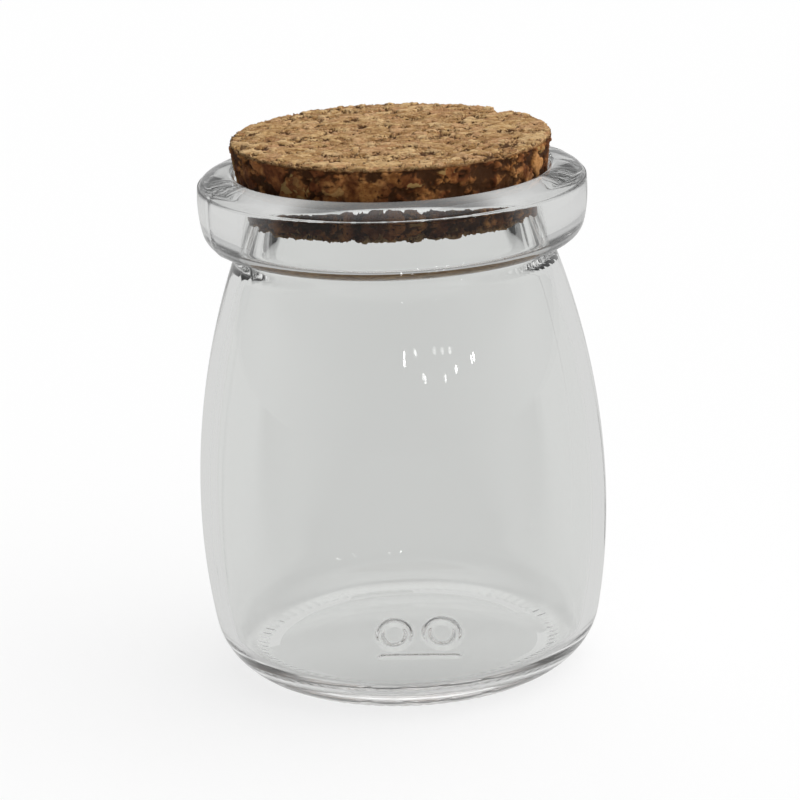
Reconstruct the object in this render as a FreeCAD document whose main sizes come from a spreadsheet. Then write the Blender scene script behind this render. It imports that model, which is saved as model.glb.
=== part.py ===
"""Corked glass jar: a small clear jar with a rounded rim and a tapered cork stopper.

Millimetres, +Z up.  The origin is the centre of the ring that the jar stands on.
Every size is a cell of the sheet "Sizes"; sketches and features are bound to those cells.
"""

import FreeCAD, Part
import math
import os
import Sketcher

SIZES = [
    # name, value, what it is
    ("body_radius", 36.85, "outer radius at the widest place of the body"),
    ("widest_height", 30.1, "height of the widest place above the table"),
    ("jar_height", 92.0, "height of the rim's crest above the table"),
    ("wall", 2.6, "thickness of the body's wall"),
    ("floor_thickness", 4.6, "glass between the table and the inside floor"),
    ("lower_bulge", 118.3, "radius of the long arc below the widest place"),
    ("heel_round", 12.4, "radius of the turn from the body to the foot"),
    ("inner_heel_round", 6.0, "rounding between the inside floor and the wall"),
    ("foot_inset", 10.65, "how far the foot's outer edge lies inside the widest place"),
    ("foot_width", 2.4, "width of the flat ring that the jar stands on"),
    ("foot_round", 1.6, "rounding of the foot's outer edge"),
    ("push_up", 0.4, "how far the underside rises at its centre"),
    ("mouth_radius", 27.8, "radius of the bore, taken at the height of the crest"),
    ("mouth_taper", 4.0, "slope of the bore, in degrees"),
    ("lip_round", 1.3, "rounding from the crest into the bore"),
    ("throat_round", 5.0, "rounding where the bore opens into the body"),
    ("neck_wall", 1.5, "glass between the neck groove and the bore's line"),
    ("neck_round", 1.2, "rounding in the neck groove"),
    ("rim_width", 6.8, "from the mouth's radius out to the widest place of the rim"),
    ("rim_depth", 14.4, "from the crest down to the neck groove"),
    ("rim_under_round", 4.0, "radius of the rim's underside"),
    ("rim_side_bulge", 24.0, "radius of the rim's outer side, top to bottom"),
    ("rim_belly_drop", 4.7, "from the crest down to the widest place of the rim"),
    ("rim_shoulder_round", 2.3, "radius of the rim's upper outer corner"),
    ("rim_top_bulge", 9.0, "radius of the rim's crowned top"),
    ("parting_drop", 2.2, "from the crest down to the mould's parting line"),
    ("parting_step", 0.2, "width of the small ledge at the parting line"),
    ("cork_taper", 8.4, "slope of the stopper's side, in degrees"),
    ("cork_length", 13.0, "length of the stopper from end to end"),
    ("cork_proud", 5.7, "how far the stopper stands above the crest"),
    ("cork_fit", 0.1, "clearance between the stopper's side and the rounding of the mouth"),
    ("cork_top_round", 0.5, "rounding of the stopper's upper edge"),
    ("cork_end_round", 1.6, "rounding of the stopper's lower edge"),
]

# Places that follow from the sizes, as formulas of the sheet's cells.
PLACES = {
    "foot_outer": "Sizes.body_radius - Sizes.foot_inset",
    "foot_inner": "Sizes.body_radius - Sizes.foot_inset - Sizes.foot_width",
    "inside_radius": "Sizes.body_radius - Sizes.wall",
    "neck_height": "Sizes.jar_height - Sizes.rim_depth",
    "groove_across": "Sizes.mouth_radius - Sizes.rim_depth * tan(Sizes.mouth_taper)"
    " + Sizes.neck_wall + Sizes.neck_round",
    "belly_height": "Sizes.jar_height - Sizes.rim_belly_drop",
    "belly_centre": "Sizes.mouth_radius + Sizes.rim_width - Sizes.rim_side_bulge",
    "parting_height": "Sizes.jar_height - Sizes.parting_drop",
    "crest_radius": "Sizes.mouth_radius"
    " + Sizes.lip_round * (1 / cos(Sizes.mouth_taper) - tan(Sizes.mouth_taper))",
    "cork_top": "Sizes.jar_height + Sizes.cork_proud",
    "cork_end": "Sizes.jar_height + Sizes.cork_proud - Sizes.cork_length",
    "cork_top_radius": "Sizes.mouth_radius"
    " + Sizes.lip_round * (1 / cos(Sizes.mouth_taper) - tan(Sizes.mouth_taper))"
    " - (Sizes.lip_round + Sizes.cork_fit) / cos(Sizes.cork_taper)"
    " + (Sizes.lip_round + Sizes.cork_proud) * tan(Sizes.cork_taper)",
    "bore_angle": "90 - Sizes.mouth_taper",
    "cork_angle": "90 - Sizes.cork_taper",
}

START = 1
END = 2
CENTRE = 3
X_AXIS = -1
Z_AXIS = -2
ORIGIN = (-1, 1)


# ---------------------------------------------------------------- document helpers


def make_sheet(doc):
    """One row for each driving size: its name, its value and what it means."""
    sheet = doc.addObject("Spreadsheet::Sheet", "Sizes")
    for row, (name, value, meaning) in enumerate(SIZES, start=1):
        sheet.set(f"A{row}", name)
        sheet.set(f"B{row}", str(value))
        sheet.set(f"C{row}", meaning)
        sheet.setAlias(f"B{row}", name)
    doc.recompute()
    return sheet


def formula_of(name):
    """The formula behind a place, or the cell itself for a plain size."""
    return PLACES.get(name, f"Sizes.{name}")


def value_of(sheet, name):
    """The present value of a size or of a place."""
    return float(sheet.evalExpression(formula_of(name)))


def new_body(doc, label):
    """An empty body with its label."""
    body = doc.addObject("PartDesign::Body", label)
    body.Label = label
    return body


def section_sketch(body, name):
    """A sketch on the body's own XZ plane: across is the radius, up is the height."""
    plane = next(item for item in body.Origin.OriginFeatures if item.Role == "XZ_Plane")
    sketch = body.newObject("Sketcher::SketchObject", name)
    sketch.AttachmentSupport = [(plane, "")]
    sketch.MapMode = "FlatFace"
    return sketch


def turn(body, sketch, name):
    """The section turned once round the vertical axis."""
    solid = body.newObject("PartDesign::Revolution", name)
    solid.Profile = sketch
    solid.ReferenceAxis = (sketch, ["V_Axis"])
    solid.Angle = 360
    sketch.Visibility = False
    body.Tip = solid
    body.Document.recompute()


def round_edge(body, name, size, corner):
    """Round the circular edge that lies nearest to a corner of the section."""
    turned = body.Tip
    edges = turned.Shape.Edges
    rings = [i for i, edge in enumerate(edges) if is_ring(edge)]
    nearest = min(rings, key=lambda i: (ring_point(edges[i]) - corner).Length)
    fillet = body.newObject("PartDesign::Fillet", name)
    fillet.Base = (turned, [f"Edge{nearest + 1}"])
    fillet.setExpression("Radius", formula_of(size))
    body.Tip = fillet
    body.Document.recompute()


def is_ring(edge):
    """True for a circle that lies level, which leaves out seams and the poles."""
    if edge.Degenerated:
        return False
    return isinstance(edge.Curve, Part.Circle) and abs(edge.Curve.Axis.z) > 0.5


def ring_point(edge):
    """A circular edge as a point of the section."""
    return point(edge.Curve.Radius, edge.Curve.Center.z)


# ---------------------------------------------------------------- section geometry


def point(radius, height):
    """A point of a section."""
    return FreeCAD.Vector(radius, height, 0)


def arc(centre, start, end):
    """The arc about a centre, anticlockwise from start to end."""
    circle = Part.Circle(centre, FreeCAD.Vector(0, 0, 1), (start - centre).Length)
    return Part.ArcOfCircle(circle, circle.parameter(start), circle.parameter(end))


def crossing(first_centre, first_radius, second_centre, second_radius):
    """Where two circles cross, on the left of the way from the first centre to the second.

    An arc's centre is found with it: its distance from each neighbour's centre is the
    difference of their radii where it lies inside, and the sum where it lies outside.
    """
    way = second_centre - first_centre
    along = (way.Length**2 + first_radius**2 - second_radius**2) / (2 * way.Length)
    away = math.sqrt(first_radius**2 - along**2)
    forward = way / way.Length
    left = point(-forward.y, forward.x)
    return first_centre + forward * along + left * away


def touch_point(centre, radius, other_centre):
    """The point where an arc runs smoothly into another one."""
    way = other_centre - centre
    return centre + way * (radius / way.Length)


def arc_at_height(centre, radius, height):
    """The outer point of an arc at a height."""
    return point(centre.x + math.sqrt(radius**2 - (height - centre.y) ** 2), height)


def arc_along_line(centre, radius, start, direction):
    """The first point of an arc that a straight line from outside meets."""
    back = start - centre
    half = back.dot(direction)
    travel = -half - math.sqrt(half**2 - back.dot(back) + radius**2)
    return start + direction * travel


# ---------------------------------------------------------------- constraints


def join(sketch, first, second):
    """Two edges share an end."""
    sketch.addConstraint(Sketcher.Constraint("Coincident", *first, *second))


def smooth(sketch, first, second):
    """Two edges share an end and run on without a corner."""
    sketch.addConstraint(Sketcher.Constraint("Tangent", *first, *second))


def on_line(sketch, where, axis):
    """A point lies on one of the sketch's axes."""
    sketch.addConstraint(Sketcher.Constraint("PointOnObject", *where, axis))


def bind(sketch, sheet, kind, where, name):
    """A dimension that is named after its size and takes the size's value."""
    value = value_of(sheet, name)
    if kind == "Angle":
        value = math.radians(value)
    index = sketch.addConstraint(Sketcher.Constraint(kind, *where, value))
    label = f"{name}_{index}"
    sketch.renameConstraint(index, label)
    sketch.setExpression(f"Constraints.{label}", formula_of(name))


def bind_radius(sketch, sheet, edge, name):
    """An arc's radius is a named size."""
    bind(sketch, sheet, "Radius", (edge,), name)


def bind_across(sketch, sheet, where, name):
    """A point's distance from the axis is a named size."""
    bind(sketch, sheet, "DistanceX", (*ORIGIN, *where), name)


def bind_up(sketch, sheet, where, name):
    """A point's height above the table is a named size."""
    bind(sketch, sheet, "DistanceY", (*ORIGIN, *where), name)


# ---------------------------------------------------------------- the glass jar


def jar_corners(size):
    """The corners and arc centres of the jar's section, worked out from the sizes."""
    at = {}
    at["foot_inner"] = point(size("foot_inner"), 0)
    at["foot_outer"] = point(size("foot_outer"), 0)
    at["under_centre"] = point(0, size("push_up"))
    dome_radius = (size("foot_inner") ** 2 + size("push_up") ** 2) / (2 * size("push_up"))
    at["dome_centre"] = point(0, size("push_up") - dome_radius)

    lower = size("lower_bulge")
    at["widest"] = point(size("body_radius"), size("widest_height"))
    at["lower_centre"] = at["widest"] - point(lower, 0)
    at["foot_centre"] = at["foot_outer"] + point(0, size("foot_round"))
    at["heel_centre"] = crossing(
        at["lower_centre"],
        lower - size("heel_round"),
        at["foot_centre"],
        size("heel_round") - size("foot_round"),
    )
    at["heel_foot"] = touch_point(at["heel_centre"], size("heel_round"), at["foot_centre"])
    at["heel_top"] = touch_point(at["lower_centre"], lower, at["heel_centre"])

    at["groove_centre"] = point(size("groove_across"), size("neck_height"))
    inward = size("body_radius") - at["groove_centre"].x
    upward = size("neck_height") - size("widest_height")
    upper = (inward**2 + upward**2 - size("neck_round") ** 2) / (2 * (inward + size("neck_round")))
    at["upper_centre"] = at["widest"] - point(upper, 0)
    at["groove_foot"] = touch_point(at["upper_centre"], upper, at["groove_centre"])

    side = size("rim_side_bulge")
    at["side_centre"] = point(size("belly_centre"), size("belly_height"))
    at["rim_under_centre"] = crossing(
        at["side_centre"],
        side - size("rim_under_round"),
        at["groove_centre"],
        size("rim_under_round") + size("neck_round"),
    )
    at["groove_top"] = touch_point(
        at["rim_under_centre"], size("rim_under_round"), at["groove_centre"]
    )
    at["rim_under_top"] = touch_point(at["side_centre"], side, at["rim_under_centre"])
    at["parting"] = arc_at_height(at["side_centre"], side, size("parting_height"))
    at["ledge"] = at["parting"] - point(size("parting_step"), 0)

    crown = size("rim_top_bulge")
    at["crest"] = point(size("crest_radius"), size("jar_height"))
    at["top_centre"] = at["crest"] - point(0, crown)
    at["shoulder_centre"] = crossing(
        at["top_centre"],
        crown - size("rim_shoulder_round"),
        at["ledge"],
        size("rim_shoulder_round"),
    )
    at["shoulder_top"] = touch_point(at["top_centre"], crown, at["shoulder_centre"])

    slope = math.radians(size("mouth_taper"))
    down_bore = point(-math.sin(slope), -math.cos(slope))
    into_glass = point(math.cos(slope), -math.sin(slope))
    inside_upper = upper - size("wall")
    at["lip_centre"] = at["crest"] - point(0, size("lip_round"))
    at["lip_end"] = at["lip_centre"] - into_glass * size("lip_round")
    at["throat_centre"] = arc_along_line(
        at["upper_centre"],
        inside_upper + size("throat_round"),
        at["lip_end"] + into_glass * size("throat_round"),
        down_bore,
    )
    at["throat_top"] = at["throat_centre"] - into_glass * size("throat_round")
    at["throat_foot"] = touch_point(at["upper_centre"], inside_upper, at["throat_centre"])

    inside_lower = lower - size("wall")
    at["inside_widest"] = at["widest"] - point(size("wall"), 0)
    at["inside_heel_centre"] = arc_at_height(
        at["lower_centre"],
        inside_lower - size("inner_heel_round"),
        size("floor_thickness") + size("inner_heel_round"),
    )
    at["inside_heel_top"] = touch_point(
        at["lower_centre"], inside_lower, at["inside_heel_centre"]
    )
    at["floor_edge"] = at["inside_heel_centre"] - point(0, size("inner_heel_round"))
    at["floor_centre"] = point(0, size("floor_thickness"))
    return at


def draw_jar_section(sketch, sheet, at):
    """The jar's half section, from the underside up the outside and down the inside."""

    def line(start, end):
        return sketch.addGeometry(Part.LineSegment(at[start], at[end]), False)

    def bow(centre, start, end):
        return sketch.addGeometry(arc(at[centre], at[start], at[end]), False)

    dome = bow("dome_centre", "foot_inner", "under_centre")
    foot = line("foot_inner", "foot_outer")
    foot_edge = bow("foot_centre", "foot_outer", "heel_foot")
    heel = bow("heel_centre", "heel_foot", "heel_top")
    lower = bow("lower_centre", "heel_top", "widest")
    upper = bow("upper_centre", "widest", "groove_foot")
    groove = bow("groove_centre", "groove_top", "groove_foot")
    rim_under = bow("rim_under_centre", "groove_top", "rim_under_top")
    rim_side = bow("side_centre", "rim_under_top", "parting")
    ledge = line("parting", "ledge")
    shoulder = bow("shoulder_centre", "ledge", "shoulder_top")
    top = bow("top_centre", "shoulder_top", "crest")
    lip = bow("lip_centre", "crest", "lip_end")
    bore = line("lip_end", "throat_top")
    throat = bow("throat_centre", "throat_top", "throat_foot")
    inside_upper = bow("upper_centre", "inside_widest", "throat_foot")
    inside_lower = bow("lower_centre", "inside_heel_top", "inside_widest")
    inside_heel = bow("inside_heel_centre", "floor_edge", "inside_heel_top")
    floor = line("floor_edge", "floor_centre")
    axis = line("floor_centre", "under_centre")

    # The underside and the ring that the jar stands on.
    on_line(sketch, (dome, END), Z_AXIS)
    on_line(sketch, (dome, CENTRE), Z_AXIS)
    bind_up(sketch, sheet, (dome, END), "push_up")
    join(sketch, (dome, START), (foot, START))
    on_line(sketch, (foot, START), X_AXIS)
    on_line(sketch, (foot, END), X_AXIS)
    bind_across(sketch, sheet, (foot, START), "foot_inner")
    bind_across(sketch, sheet, (foot, END), "foot_outer")

    # The body: both long arcs stand upright where they meet, at the widest place.
    smooth(sketch, (foot, END), (foot_edge, START))
    bind_radius(sketch, sheet, foot_edge, "foot_round")
    smooth(sketch, (foot_edge, END), (heel, START))
    bind_radius(sketch, sheet, heel, "heel_round")
    smooth(sketch, (heel, END), (lower, START))
    bind_radius(sketch, sheet, lower, "lower_bulge")
    bind_across(sketch, sheet, (lower, END), "body_radius")
    bind_up(sketch, sheet, (lower, END), "widest_height")
    bind_up(sketch, sheet, (lower, CENTRE), "widest_height")
    smooth(sketch, (lower, END), (upper, START))
    smooth(sketch, (upper, END), (groove, END))
    bind_radius(sketch, sheet, groove, "neck_round")
    bind_across(sketch, sheet, (groove, CENTRE), "groove_across")
    bind_up(sketch, sheet, (groove, CENTRE), "neck_height")

    # The rim, from the neck groove over the parting line to the crest.
    smooth(sketch, (groove, START), (rim_under, START))
    bind_radius(sketch, sheet, rim_under, "rim_under_round")
    smooth(sketch, (rim_under, END), (rim_side, START))
    bind_radius(sketch, sheet, rim_side, "rim_side_bulge")
    bind_across(sketch, sheet, (rim_side, CENTRE), "belly_centre")
    bind_up(sketch, sheet, (rim_side, CENTRE), "belly_height")
    bind_up(sketch, sheet, (rim_side, END), "parting_height")
    join(sketch, (rim_side, END), (ledge, START))
    sketch.addConstraint(Sketcher.Constraint("Horizontal", ledge))
    bind(sketch, sheet, "DistanceX", (ledge, END, ledge, START), "parting_step")
    join(sketch, (ledge, END), (shoulder, START))
    bind_radius(sketch, sheet, shoulder, "rim_shoulder_round")
    smooth(sketch, (shoulder, END), (top, START))
    bind_radius(sketch, sheet, top, "rim_top_bulge")
    bind_across(sketch, sheet, (top, END), "crest_radius")
    bind_up(sketch, sheet, (top, END), "jar_height")
    bind_across(sketch, sheet, (top, CENTRE), "crest_radius")

    # The mouth: a lip and a tapered bore down to where it opens into the body.
    smooth(sketch, (top, END), (lip, START))
    bind_radius(sketch, sheet, lip, "lip_round")
    smooth(sketch, (lip, END), (bore, START))
    bind(sketch, sheet, "Angle", (X_AXIS, START, bore, END), "bore_angle")
    smooth(sketch, (bore, END), (throat, START))
    bind_radius(sketch, sheet, throat, "throat_round")
    smooth(sketch, (throat, END), (inside_upper, END))

    # The inside follows the outside at the wall's thickness.
    join(sketch, (inside_upper, CENTRE), (upper, CENTRE))
    join(sketch, (inside_upper, START), (inside_lower, END))
    join(sketch, (inside_lower, CENTRE), (lower, CENTRE))
    bind_across(sketch, sheet, (inside_lower, END), "inside_radius")
    bind_up(sketch, sheet, (inside_lower, END), "widest_height")
    smooth(sketch, (inside_lower, START), (inside_heel, END))
    bind_radius(sketch, sheet, inside_heel, "inner_heel_round")
    smooth(sketch, (inside_heel, START), (floor, START))
    sketch.addConstraint(Sketcher.Constraint("Horizontal", floor))
    on_line(sketch, (floor, END), Z_AXIS)
    bind_up(sketch, sheet, (floor, END), "floor_thickness")
    join(sketch, (floor, END), (axis, START))
    join(sketch, (axis, END), (dome, END))


def make_jar(doc, sheet):
    """The jar is one turned section."""

    def size(name):
        return value_of(sheet, name)

    at = jar_corners(size)
    body = new_body(doc, "glass_jar")
    sketch = section_sketch(body, "jar_section")
    draw_jar_section(sketch, sheet, at)
    doc.recompute()
    turn(body, sketch, "jar_turned")
    return body


# ---------------------------------------------------------------- the cork stopper


def make_cork(doc, sheet):
    """The stopper is a tapered plug that sits one clearance inside the rounding of the mouth."""

    def size(name):
        return value_of(sheet, name)

    slope = math.tan(math.radians(size("cork_taper")))
    end_radius = size("cork_top_radius") - size("cork_length") * slope
    top_centre = point(0, size("cork_top"))
    top_edge = point(size("cork_top_radius"), size("cork_top"))
    end_centre = point(0, size("cork_end"))
    end_edge = point(end_radius, size("cork_end"))

    body = new_body(doc, "cork_stopper")
    sketch = section_sketch(body, "cork_section")
    top = sketch.addGeometry(Part.LineSegment(top_centre, top_edge), False)
    side = sketch.addGeometry(Part.LineSegment(top_edge, end_edge), False)
    end = sketch.addGeometry(Part.LineSegment(end_edge, end_centre), False)
    axis = sketch.addGeometry(Part.LineSegment(end_centre, top_centre), False)
    join(sketch, (top, END), (side, START))
    join(sketch, (side, END), (end, START))
    join(sketch, (end, END), (axis, START))
    join(sketch, (axis, END), (top, START))
    on_line(sketch, (axis, START), Z_AXIS)
    on_line(sketch, (axis, END), Z_AXIS)
    sketch.addConstraint(Sketcher.Constraint("Horizontal", top))
    sketch.addConstraint(Sketcher.Constraint("Horizontal", end))
    bind_up(sketch, sheet, (top, START), "cork_top")
    bind_up(sketch, sheet, (end, END), "cork_end")
    bind_across(sketch, sheet, (top, END), "cork_top_radius")
    bind(sketch, sheet, "Angle", (X_AXIS, START, side, END), "cork_angle")
    doc.recompute()

    turn(body, sketch, "cork_turned")
    round_edge(body, "top_edge", "cork_top_round", top_edge)
    round_edge(body, "end_edge", "cork_end_round", end_edge)
    return body


# ---------------------------------------------------------------- checks and export


def check(doc, parts):
    """Stop if an object failed or a piece has no sound solid."""
    for item in doc.Objects:
        if "Invalid" in item.State or "Error" in item.State:
            raise RuntimeError(f"{item.Label} failed: {item.State}")
        if item.TypeId == "Sketcher::SketchObject" and item.solve() != 0:
            raise RuntimeError(f"{item.Label} has no solution")
    for part in parts:
        if part.Shape.isNull() or not part.Shape.isValid():
            raise RuntimeError(f"{part.Label} has no sound shape")
        if len(part.Shape.Solids) != 1:
            raise RuntimeError(f"{part.Label} is not one solid")


def main():
    doc = FreeCAD.newDocument("corked_jar")
    sheet = make_sheet(doc)
    parts = [make_jar(doc, sheet), make_cork(doc, sheet)]
    doc.recompute()
    check(doc, parts)
    os.makedirs("parts", exist_ok=True)
    for part in parts:
        part.Shape.exportStep(f"parts/{part.Label}.step")
        box = part.Shape.optimalBoundingBox()
        print(part.Label)
        print(f"  volume {part.Shape.Volume:.1f} mm3, across {box.XLength:.2f} mm")
        print(f"  from z {box.ZMin:.2f} to z {box.ZMax:.2f} mm")


main()
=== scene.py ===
"""Corked glass jar: a clear jar with a rounded rim and a pressed-cork stopper, on a pale floor.

Metres, +Z up, in the same frame as the loaded model.  Laid out as an add-on: settings hold the
sizes and colours, each piece has an operator, and a panel lists them.
"""

import math

import bmesh
import bpy
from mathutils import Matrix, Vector


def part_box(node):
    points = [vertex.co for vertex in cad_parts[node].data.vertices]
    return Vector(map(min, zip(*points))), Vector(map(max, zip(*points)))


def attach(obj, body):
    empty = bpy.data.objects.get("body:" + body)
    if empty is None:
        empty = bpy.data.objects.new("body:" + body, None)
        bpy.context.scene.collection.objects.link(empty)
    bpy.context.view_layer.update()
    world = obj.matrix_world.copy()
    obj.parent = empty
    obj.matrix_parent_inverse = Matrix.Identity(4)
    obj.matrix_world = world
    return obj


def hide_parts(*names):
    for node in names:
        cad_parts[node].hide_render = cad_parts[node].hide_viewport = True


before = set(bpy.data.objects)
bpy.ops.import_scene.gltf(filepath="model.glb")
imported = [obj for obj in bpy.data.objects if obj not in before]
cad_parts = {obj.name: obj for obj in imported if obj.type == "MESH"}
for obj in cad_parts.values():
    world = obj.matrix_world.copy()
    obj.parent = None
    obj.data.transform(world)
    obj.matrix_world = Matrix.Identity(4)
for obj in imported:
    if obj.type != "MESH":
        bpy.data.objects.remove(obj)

bl_info = {
    "name": "Corked glass jar",
    "version": (1, 0, 0),
    "blender": (4, 5, 0),
    "location": "3D View > Sidebar > Jar",
    "description": "Builds a clear glass jar with a cork stopper and its plain studio",
    "category": "Object",
}

MM = 0.001
JAR_LOW, JAR_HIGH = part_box("glass_jar")
CORK_LOW, CORK_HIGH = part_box("cork_stopper")


# ---------------------------------------------------------------- settings


class JarSettings(bpy.types.PropertyGroup):
    """Sizes and colour of the glass."""

    body_radius: bpy.props.FloatProperty(
        name="Body radius", description="Outer radius at the widest place",
        default=JAR_HIGH.x, unit="LENGTH")
    height: bpy.props.FloatProperty(
        name="Height", description="Height of the rim's crest",
        default=JAR_HIGH.z, unit="LENGTH")
    widest_height: bpy.props.FloatProperty(
        name="Widest height", description="Height of the widest place",
        default=30.1 * MM, unit="LENGTH")
    wall: bpy.props.FloatProperty(
        name="Wall", description="Thickness of the body's wall",
        default=2.6 * MM, unit="LENGTH")
    floor_thickness: bpy.props.FloatProperty(
        name="Floor", description="Glass between the table and the inside floor",
        default=4.6 * MM, unit="LENGTH")
    ripple: bpy.props.FloatProperty(
        name="Ripple", description="How far the moulded walls waver",
        default=0.07 * MM, unit="LENGTH")
    rib_count: bpy.props.IntProperty(
        name="Foot ribs", description="Fine ribs round the foot ring", default=76)
    rib_height: bpy.props.FloatProperty(
        name="Rib height", description="Height of a foot rib",
        default=0.22 * MM, unit="LENGTH")
    seam_height: bpy.props.FloatProperty(
        name="Seam height", description="Height of the two upright mould seams",
        default=0.12 * MM, unit="LENGTH")
    mark_depth: bpy.props.FloatProperty(
        name="Mark depth", description="Depth of the plain mould mark in the underside",
        default=0.45 * MM, unit="LENGTH")
    tint: bpy.props.FloatVectorProperty(
        name="Tint", description="Colour of the clear glass",
        default=(0.985, 0.992, 0.985), subtype="COLOR", size=3, min=0, max=1)


class CorkSettings(bpy.types.PropertyGroup):
    """Sizes and colours of the stopper."""

    grid: bpy.props.FloatProperty(
        name="Grid", description="Spacing of the mesh that carries the relief",
        default=0.32 * MM, unit="LENGTH")
    granule: bpy.props.FloatProperty(
        name="Granule", description="Usual size of a cork granule",
        default=4.2 * MM, unit="LENGTH")
    crevice: bpy.props.FloatProperty(
        name="Crevice", description="Depth of the gaps between granules",
        default=0.45 * MM, unit="LENGTH")
    pit: bpy.props.FloatProperty(
        name="Pit", description="Depth of the pits", default=0.55 * MM, unit="LENGTH")
    wear: bpy.props.FloatProperty(
        name="Edge wear", description="How far crumbs have broken from the lower edge",
        default=1.1 * MM, unit="LENGTH")
    pale: bpy.props.FloatVectorProperty(
        name="Pale", description="Palest flakes",
        default=(0.64, 0.44, 0.225), subtype="COLOR", size=3, min=0, max=1)
    light_tan: bpy.props.FloatVectorProperty(
        name="Light tan", description="Pale granules",
        default=(0.50, 0.315, 0.132), subtype="COLOR", size=3, min=0, max=1)
    mid_tan: bpy.props.FloatVectorProperty(
        name="Mid tan", description="Most granules",
        default=(0.35, 0.19, 0.068), subtype="COLOR", size=3, min=0, max=1)
    brown: bpy.props.FloatVectorProperty(
        name="Brown", description="Darkest granules",
        default=(0.19, 0.085, 0.025), subtype="COLOR", size=3, min=0, max=1)
    rosy: bpy.props.FloatVectorProperty(
        name="Rosy", description="Granules with a pinkish cast",
        default=(0.50, 0.255, 0.132), subtype="COLOR", size=3, min=0, max=1)
    chip_tan: bpy.props.FloatVectorProperty(
        name="Chip tan", description="Fresh chips in the cut side",
        default=(0.40, 0.25, 0.09), subtype="COLOR", size=3, min=0, max=1)
    crevice_brown: bpy.props.FloatVectorProperty(
        name="Crevice brown", description="Bark and shadow in the gaps",
        default=(0.060, 0.022, 0.006), subtype="COLOR", size=3, min=0, max=1)


class StageSettings(bpy.types.PropertyGroup):
    """The camera, the floor and the light."""

    camera_distance: bpy.props.FloatProperty(
        name="Camera distance", description="From the camera to the jar's axis",
        default=596.2 * MM, unit="LENGTH")
    camera_height: bpy.props.FloatProperty(
        name="Aim height", description="Height on the axis that the camera aims at",
        default=48.72 * MM, unit="LENGTH")
    camera_elevation: bpy.props.FloatProperty(
        name="Camera elevation", description="Angle that the camera looks down",
        default=math.radians(16.325), subtype="ANGLE")
    camera_roll: bpy.props.FloatProperty(
        name="Camera roll", description="Tilt of the picture",
        default=math.radians(2.15), subtype="ANGLE")
    lens: bpy.props.FloatProperty(
        name="Lens", description="Focal length on a 36 mm sensor",
        default=148.5, subtype="DISTANCE_CAMERA")


# ---------------------------------------------------------------- node trees


class NodeMaker:
    """Adds nodes to a shader or geometry tree and links them as it goes."""

    def __init__(self, tree):
        self.tree = tree

    def add(self, kind, inputs=None, **settings):
        """A node with its settings; an input takes a value or another node's socket."""
        node = self.tree.nodes.new(kind)
        for name, value in settings.items():
            setattr(node, name, value)
        for key, value in (inputs or {}).items():
            if isinstance(value, bpy.types.NodeSocket):
                self.tree.links.new(value, node.inputs[key])
            else:
                node.inputs[key].default_value = value
        return node

    def math(self, operation, *values):
        """One step of arithmetic."""
        node = self.add("ShaderNodeMath", dict(enumerate(values)), operation=operation)
        return node.outputs[0]

    def times(self, product, *factors):
        """Numbers multiplied one after another."""
        for factor in factors:
            product = self.math("MULTIPLY", product, factor)
        return product

    def vector(self, operation, *values):
        """One step of vector arithmetic."""
        node = self.add("ShaderNodeVectorMath", dict(enumerate(values)), operation=operation)
        return node.outputs["Value" if operation in {"LENGTH", "DOT_PRODUCT"} else "Vector"]

    def scaled(self, vector, factor):
        """A vector times a number."""
        node = self.add("ShaderNodeVectorMath", {0: vector, "Scale": factor}, operation="SCALE")
        return node.outputs["Vector"]

    def parts(self, vector):
        """The x, y and z of a vector."""
        return self.add("ShaderNodeSeparateXYZ", {0: vector}).outputs

    def outward(self, place):
        """The level way from the upright axis to a place."""
        return self.vector("MULTIPLY", place, (1, 1, 0))

    def from_axis(self, place):
        """How far a place lies from the upright axis."""
        return self.vector("LENGTH", self.outward(place))

    def step(self, value, low, high, to_low=0.0, to_high=1.0):
        """A smooth step of a value from low to high."""
        inputs = {"Value": value, "From Min": low, "From Max": high,
                  "To Min": to_low, "To Max": to_high}
        node = self.add("ShaderNodeMapRange", inputs, interpolation_type="SMOOTHSTEP")
        return node.outputs["Result"]

    def noise(self, vector, scale, detail=2.0, roughness=0.5, output="Fac"):
        """Noise, as a number or as a colour."""
        inputs = {"Vector": vector, "Scale": scale, "Detail": detail, "Roughness": roughness}
        node = self.add("ShaderNodeTexNoise", inputs, noise_dimensions="3D")
        return node.outputs[output]

    def cells(self, vector, scale, feature="F1", output="Color"):
        """Uneven cells, with a random colour for each."""
        inputs = {"Vector": vector, "Scale": scale, "Randomness": 1.0}
        node = self.add("ShaderNodeTexVoronoi", inputs, voronoi_dimensions="3D", feature=feature)
        return node.outputs[output]

    def cell_gap(self, vector, scale):
        """How far a point lies from the edge of its cell."""
        return self.cells(vector, scale, "DISTANCE_TO_EDGE", "Distance")

    def mix(self, factor, first, second, blend="MIX"):
        """A mix of two colours."""
        node = self.add("ShaderNodeMix", {"Factor": factor}, data_type="RGBA", blend_type=blend)
        for key, value in ((6, first), (7, second)):
            if isinstance(value, bpy.types.NodeSocket):
                self.tree.links.new(value, node.inputs[key])
            else:
                node.inputs[key].default_value = (*value, 1.0)
        return node.outputs[2]


def new_material(name):
    """A material with an empty tree, its maker and its output node."""
    material = bpy.data.materials.new(name)
    material.use_nodes = True
    material.node_tree.nodes.clear()
    make = NodeMaker(material.node_tree)
    return material, make, make.add("ShaderNodeOutputMaterial")


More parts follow.
